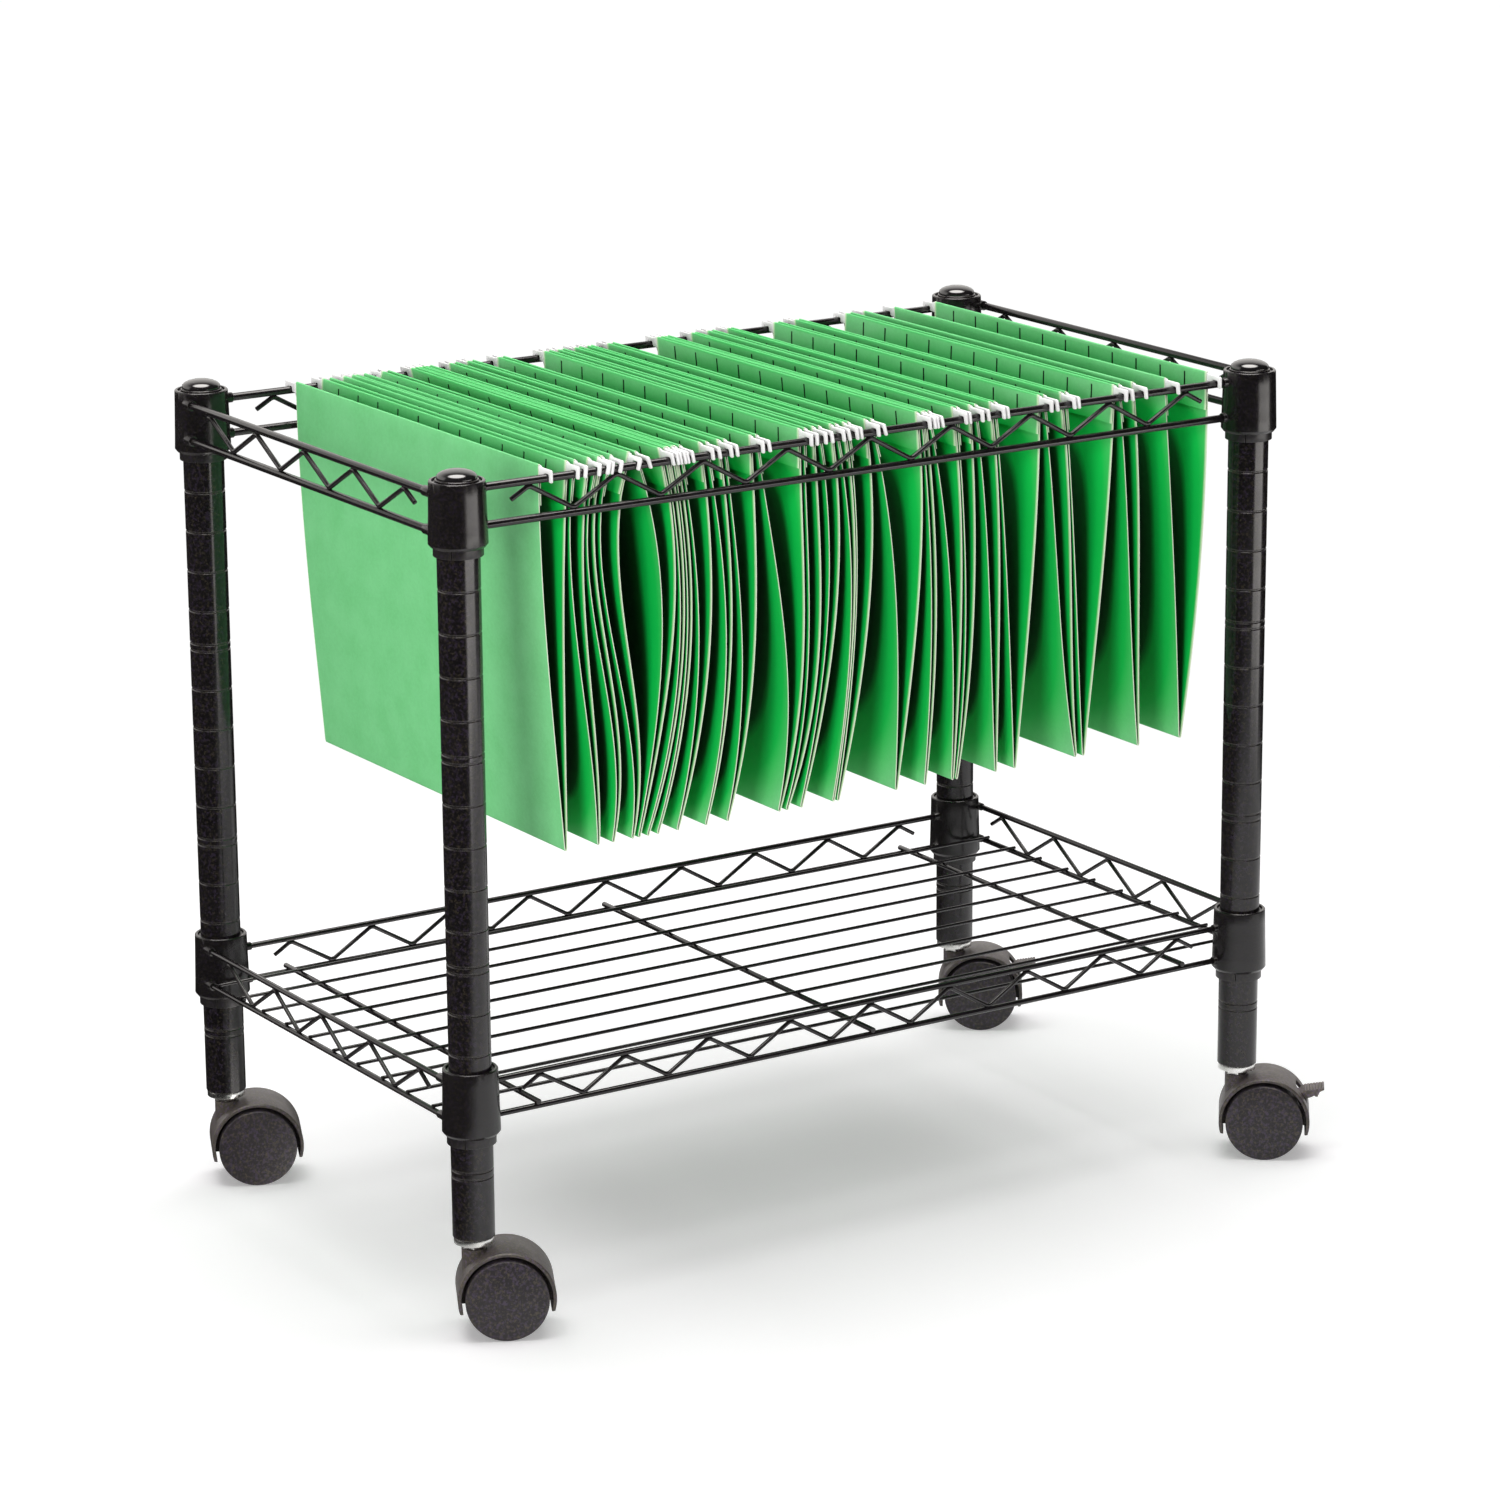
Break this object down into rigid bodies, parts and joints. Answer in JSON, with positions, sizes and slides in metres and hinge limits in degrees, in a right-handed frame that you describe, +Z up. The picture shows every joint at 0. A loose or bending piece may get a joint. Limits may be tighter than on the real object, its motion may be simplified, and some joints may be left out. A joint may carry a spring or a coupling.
{
  "type": "hanging file rack",
  "caption": "Wire rack on casters whose two upper side rails carry sliding hanging folders, with an open wire shelf below for boxes or binders.",
  "frame": {"origin": "on the floor, at the middle of the rectangle between the four post axes", "axes": "+X along the long side to the right, +Y to the rear, +Z up"},
  "size_m": [0.6391, 0.3837, 0.5246],
  "materials": {
    "black_coated_steel": "satin black powder coat",
    "black_plastic": "satin black moulded plastic",
    "bright_steel": "bright zinc plate",
    "hood_plastic": "satin dark grey-brown moulding",
    "wheel_plastic": "matte charcoal moulding",
    "green_card": "uncoated green card"
  },
  "bodies": {
    "rack": {"post_front_left": "black_coated_steel", "post_front_right": "black_coated_steel", "post_rear_left": "black_coated_steel", "post_rear_right": "black_coated_steel", "post_caps": "black_plastic", "stem_inserts": "bright_steel", "post_sleeves": "black_plastic", "top_collars": "black_coated_steel", "shelf_collars": "black_coated_steel", "file_rails": "black_coated_steel", "top_lower_rails": "black_coated_steel", "top_end_rails": "black_coated_steel", "top_side_trusses": "black_coated_steel", "top_end_trusses": "black_coated_steel", "shelf_side_rails": "black_coated_steel", "shelf_end_rails": "black_coated_steel", "shelf_side_trusses": "black_coated_steel", "shelf_end_trusses": "black_coated_steel", "cross_wires": "black_coated_steel", "deck_wires": "black_coated_steel", "caster_stems": "bright_steel"},
    "caster_front_left": {"caster_hood_front_left": "hood_plastic", "caster_axle_front_left": "bright_steel"},
    "wheels_front_left": {"caster_wheels_front_left": "wheel_plastic"},
    "caster_front_right": {"caster_hood_front_right": "hood_plastic", "caster_axle_front_right": "bright_steel"},
    "wheels_front_right": {"caster_wheels_front_right": "wheel_plastic"},
    "brake_front_right": {"brake_lever_front_right": "hood_plastic"},
    "caster_rear_left": {"caster_hood_rear_left": "hood_plastic", "caster_axle_rear_left": "bright_steel"},
    "wheels_rear_left": {"caster_wheels_rear_left": "wheel_plastic"},
    "caster_rear_right": {"caster_hood_rear_right": "hood_plastic", "caster_axle_rear_right": "bright_steel"},
    "wheels_rear_right": {"caster_wheels_rear_right": "wheel_plastic"},
    "brake_rear_right": {"brake_lever_rear_right": "hood_plastic"},
    "folder_01": {"folder_01": "green_card"},
    "folder_02": {"folder_02": "green_card"},
    "folder_03": {"folder_03": "green_card"},
    "folder_04": {"folder_04": "green_card"},
    "folder_05": {"folder_05": "green_card"},
    "folder_06": {"folder_06": "green_card"},
    "folder_07": {"folder_07": "green_card"},
    "folder_08": {"folder_08": "green_card"},
    "folder_09": {"folder_09": "green_card"},
    "folder_10": {"folder_10": "green_card"},
    "folder_11": {"folder_11": "green_card"},
    "folder_12": {"folder_12": "green_card"},
    "folder_13": {"folder_13": "green_card"},
    "folder_14": {"folder_14": "green_card"},
    "folder_15": {"folder_15": "green_card"},
    "folder_16": {"folder_16": "green_card"},
    "folder_17": {"folder_17": "green_card"},
    "folder_18": {"folder_18": "green_card"},
    "folder_19": {"folder_19": "green_card"},
    "folder_20": {"folder_20": "green_card"},
    "folder_21": {"folder_21": "green_card"},
    "folder_22": {"folder_22": "green_card"},
    "folder_23": {"folder_23": "green_card"},
    "folder_24": {"folder_24": "green_card"},
    "folder_25": {"folder_25": "green_card"}
  },
  "joints": [
    {"name": "brake_front_right_press", "type": "hinge", "parent": "caster_front_right", "child": "brake_front_right", "pos_m": [0.31332, -0.18198, 0.036], "axis": [0.6157, 0.788, 0], "range_deg": [0, 10], "stiffness_Nm_per_rad": 0.05},
    {"name": "brake_rear_right_press", "type": "hinge", "parent": "caster_rear_right", "child": "brake_rear_right", "pos_m": [0.31442, 0.14, 0.036], "axis": [0.5736, 0.8192, 0], "range_deg": [0, 10], "stiffness_Nm_per_rad": 0.05},
    {"name": "caster_front_left_swivel", "type": "hinge", "parent": "rack", "child": "caster_front_left", "pos_m": [-0.2855, -0.16025, 0.025], "axis": [0, 0, 1], "continuous": true},
    {"name": "caster_front_left_roll", "type": "hinge", "parent": "caster_front_left", "child": "wheels_front_left", "pos_m": [-0.2692, -0.16856, 0.025], "axis": [0.454, 0.891, 0], "continuous": true},
    {"name": "caster_front_right_swivel", "type": "hinge", "parent": "rack", "child": "caster_front_right", "pos_m": [0.2855, -0.16025, 0.025], "axis": [0, 0, 1], "continuous": true},
    {"name": "caster_front_right_roll", "type": "hinge", "parent": "caster_front_right", "child": "wheels_front_right", "pos_m": [0.29992, -0.17152, 0.025], "axis": [0.6157, 0.788, 0], "continuous": true},
    {"name": "caster_rear_left_swivel", "type": "hinge", "parent": "rack", "child": "caster_rear_left", "pos_m": [-0.2855, 0.16025, 0.025], "axis": [0, 0, 1], "continuous": true},
    {"name": "caster_rear_left_roll", "type": "hinge", "parent": "caster_rear_left", "child": "wheels_rear_left", "pos_m": [-0.26878, 0.15281, 0.025], "axis": [0.4067, 0.9135, 0], "continuous": true},
    {"name": "caster_rear_right_swivel", "type": "hinge", "parent": "rack", "child": "caster_rear_right", "pos_m": [0.2855, 0.16025, 0.025], "axis": [0, 0, 1], "continuous": true},
    {"name": "caster_rear_right_roll", "type": "hinge", "parent": "caster_rear_right", "child": "wheels_rear_right", "pos_m": [0.30049, 0.14975, 0.025], "axis": [0.5736, 0.8192, 0], "continuous": true},
    {"name": "folder_01_slide", "type": "slide", "parent": "rack", "child": "folder_01", "axis": [1, 0, 0], "range_m": [-0.0395, 0.0025]},
    {"name": "folder_02_slide", "type": "slide", "parent": "rack", "child": "folder_02", "axis": [1, 0, 0], "range_m": [-0.0025, 0.0021]},
    {"name": "folder_03_slide", "type": "slide", "parent": "rack", "child": "folder_03", "axis": [1, 0, 0], "range_m": [-0.0021, 0.0034]},
    {"name": "folder_04_slide", "type": "slide", "parent": "rack", "child": "folder_04", "axis": [1, 0, 0], "range_m": [-0.0034, 0.0022]},
    {"name": "folder_05_slide", "type": "slide", "parent": "rack", "child": "folder_05", "axis": [1, 0, 0], "range_m": [-0.0022, 0.001]},
    {"name": "folder_06_slide", "type": "slide", "parent": "rack", "child": "folder_06", "axis": [1, 0, 0], "range_m": [-0.001, 0.001]},
    {"name": "folder_07_slide", "type": "slide", "parent": "rack", "child": "folder_07", "axis": [1, 0, 0], "range_m": [-0.001, 0.0016]},
    {"name": "folder_08_slide", "type": "slide", "parent": "rack", "child": "folder_08", "axis": [1, 0, 0], "range_m": [-0.0016, 0.0027]},
    {"name": "folder_09_slide", "type": "slide", "parent": "rack", "child": "folder_09", "axis": [1, 0, 0], "range_m": [-0.0027, 0.0022]},
    {"name": "folder_10_slide", "type": "slide", "parent": "rack", "child": "folder_10", "axis": [1, 0, 0], "range_m": [-0.0022, 0.0022]},
    {"name": "folder_11_slide", "type": "slide", "parent": "rack", "child": "folder_11", "axis": [1, 0, 0], "range_m": [-0.0022, 0.0022]},
    {"name": "folder_12_slide", "type": "slide", "parent": "rack", "child": "folder_12", "axis": [1, 0, 0], "range_m": [-0.0022, 0.0022]},
    {"name": "folder_13_slide", "type": "slide", "parent": "rack", "child": "folder_13", "axis": [1, 0, 0], "range_m": [-0.0022, 0.0016]},
    {"name": "folder_14_slide", "type": "slide", "parent": "rack", "child": "folder_14", "axis": [1, 0, 0], "range_m": [-0.0016, 0.0008]},
    {"name": "folder_15_slide", "type": "slide", "parent": "rack", "child": "folder_15", "axis": [1, 0, 0], "range_m": [-0.0008, 0.0022]},
    {"name": "folder_16_slide", "type": "slide", "parent": "rack", "child": "folder_16", "axis": [1, 0, 0], "range_m": [-0.0022, 0.0016]},
    {"name": "folder_17_slide", "type": "slide", "parent": "rack", "child": "folder_17", "axis": [1, 0, 0], "range_m": [-0.0016, 0.0012]},
    {"name": "folder_18_slide", "type": "slide", "parent": "rack", "child": "folder_18", "axis": [1, 0, 0], "range_m": [-0.0012, 0.0008]},
    {"name": "folder_19_slide", "type": "slide", "parent": "rack", "child": "folder_19", "axis": [1, 0, 0], "range_m": [-0.0008, 0.0022]},
    {"name": "folder_20_slide", "type": "slide", "parent": "rack", "child": "folder_20", "axis": [1, 0, 0], "range_m": [-0.0022, 0.0012]},
    {"name": "folder_21_slide", "type": "slide", "parent": "rack", "child": "folder_21", "axis": [1, 0, 0], "range_m": [-0.0012, 0.0016]},
    {"name": "folder_22_slide", "type": "slide", "parent": "rack", "child": "folder_22", "axis": [1, 0, 0], "range_m": [-0.0016, 0.0008]},
    {"name": "folder_23_slide", "type": "slide", "parent": "rack", "child": "folder_23", "axis": [1, 0, 0], "range_m": [-0.0008, 0.0022]},
    {"name": "folder_24_slide", "type": "slide", "parent": "rack", "child": "folder_24", "axis": [1, 0, 0], "range_m": [-0.0022, 0.0229]},
    {"name": "folder_25_slide", "type": "slide", "parent": "rack", "child": "folder_25", "axis": [1, 0, 0], "range_m": [-0.0229, 0.0035]}
  ]
}
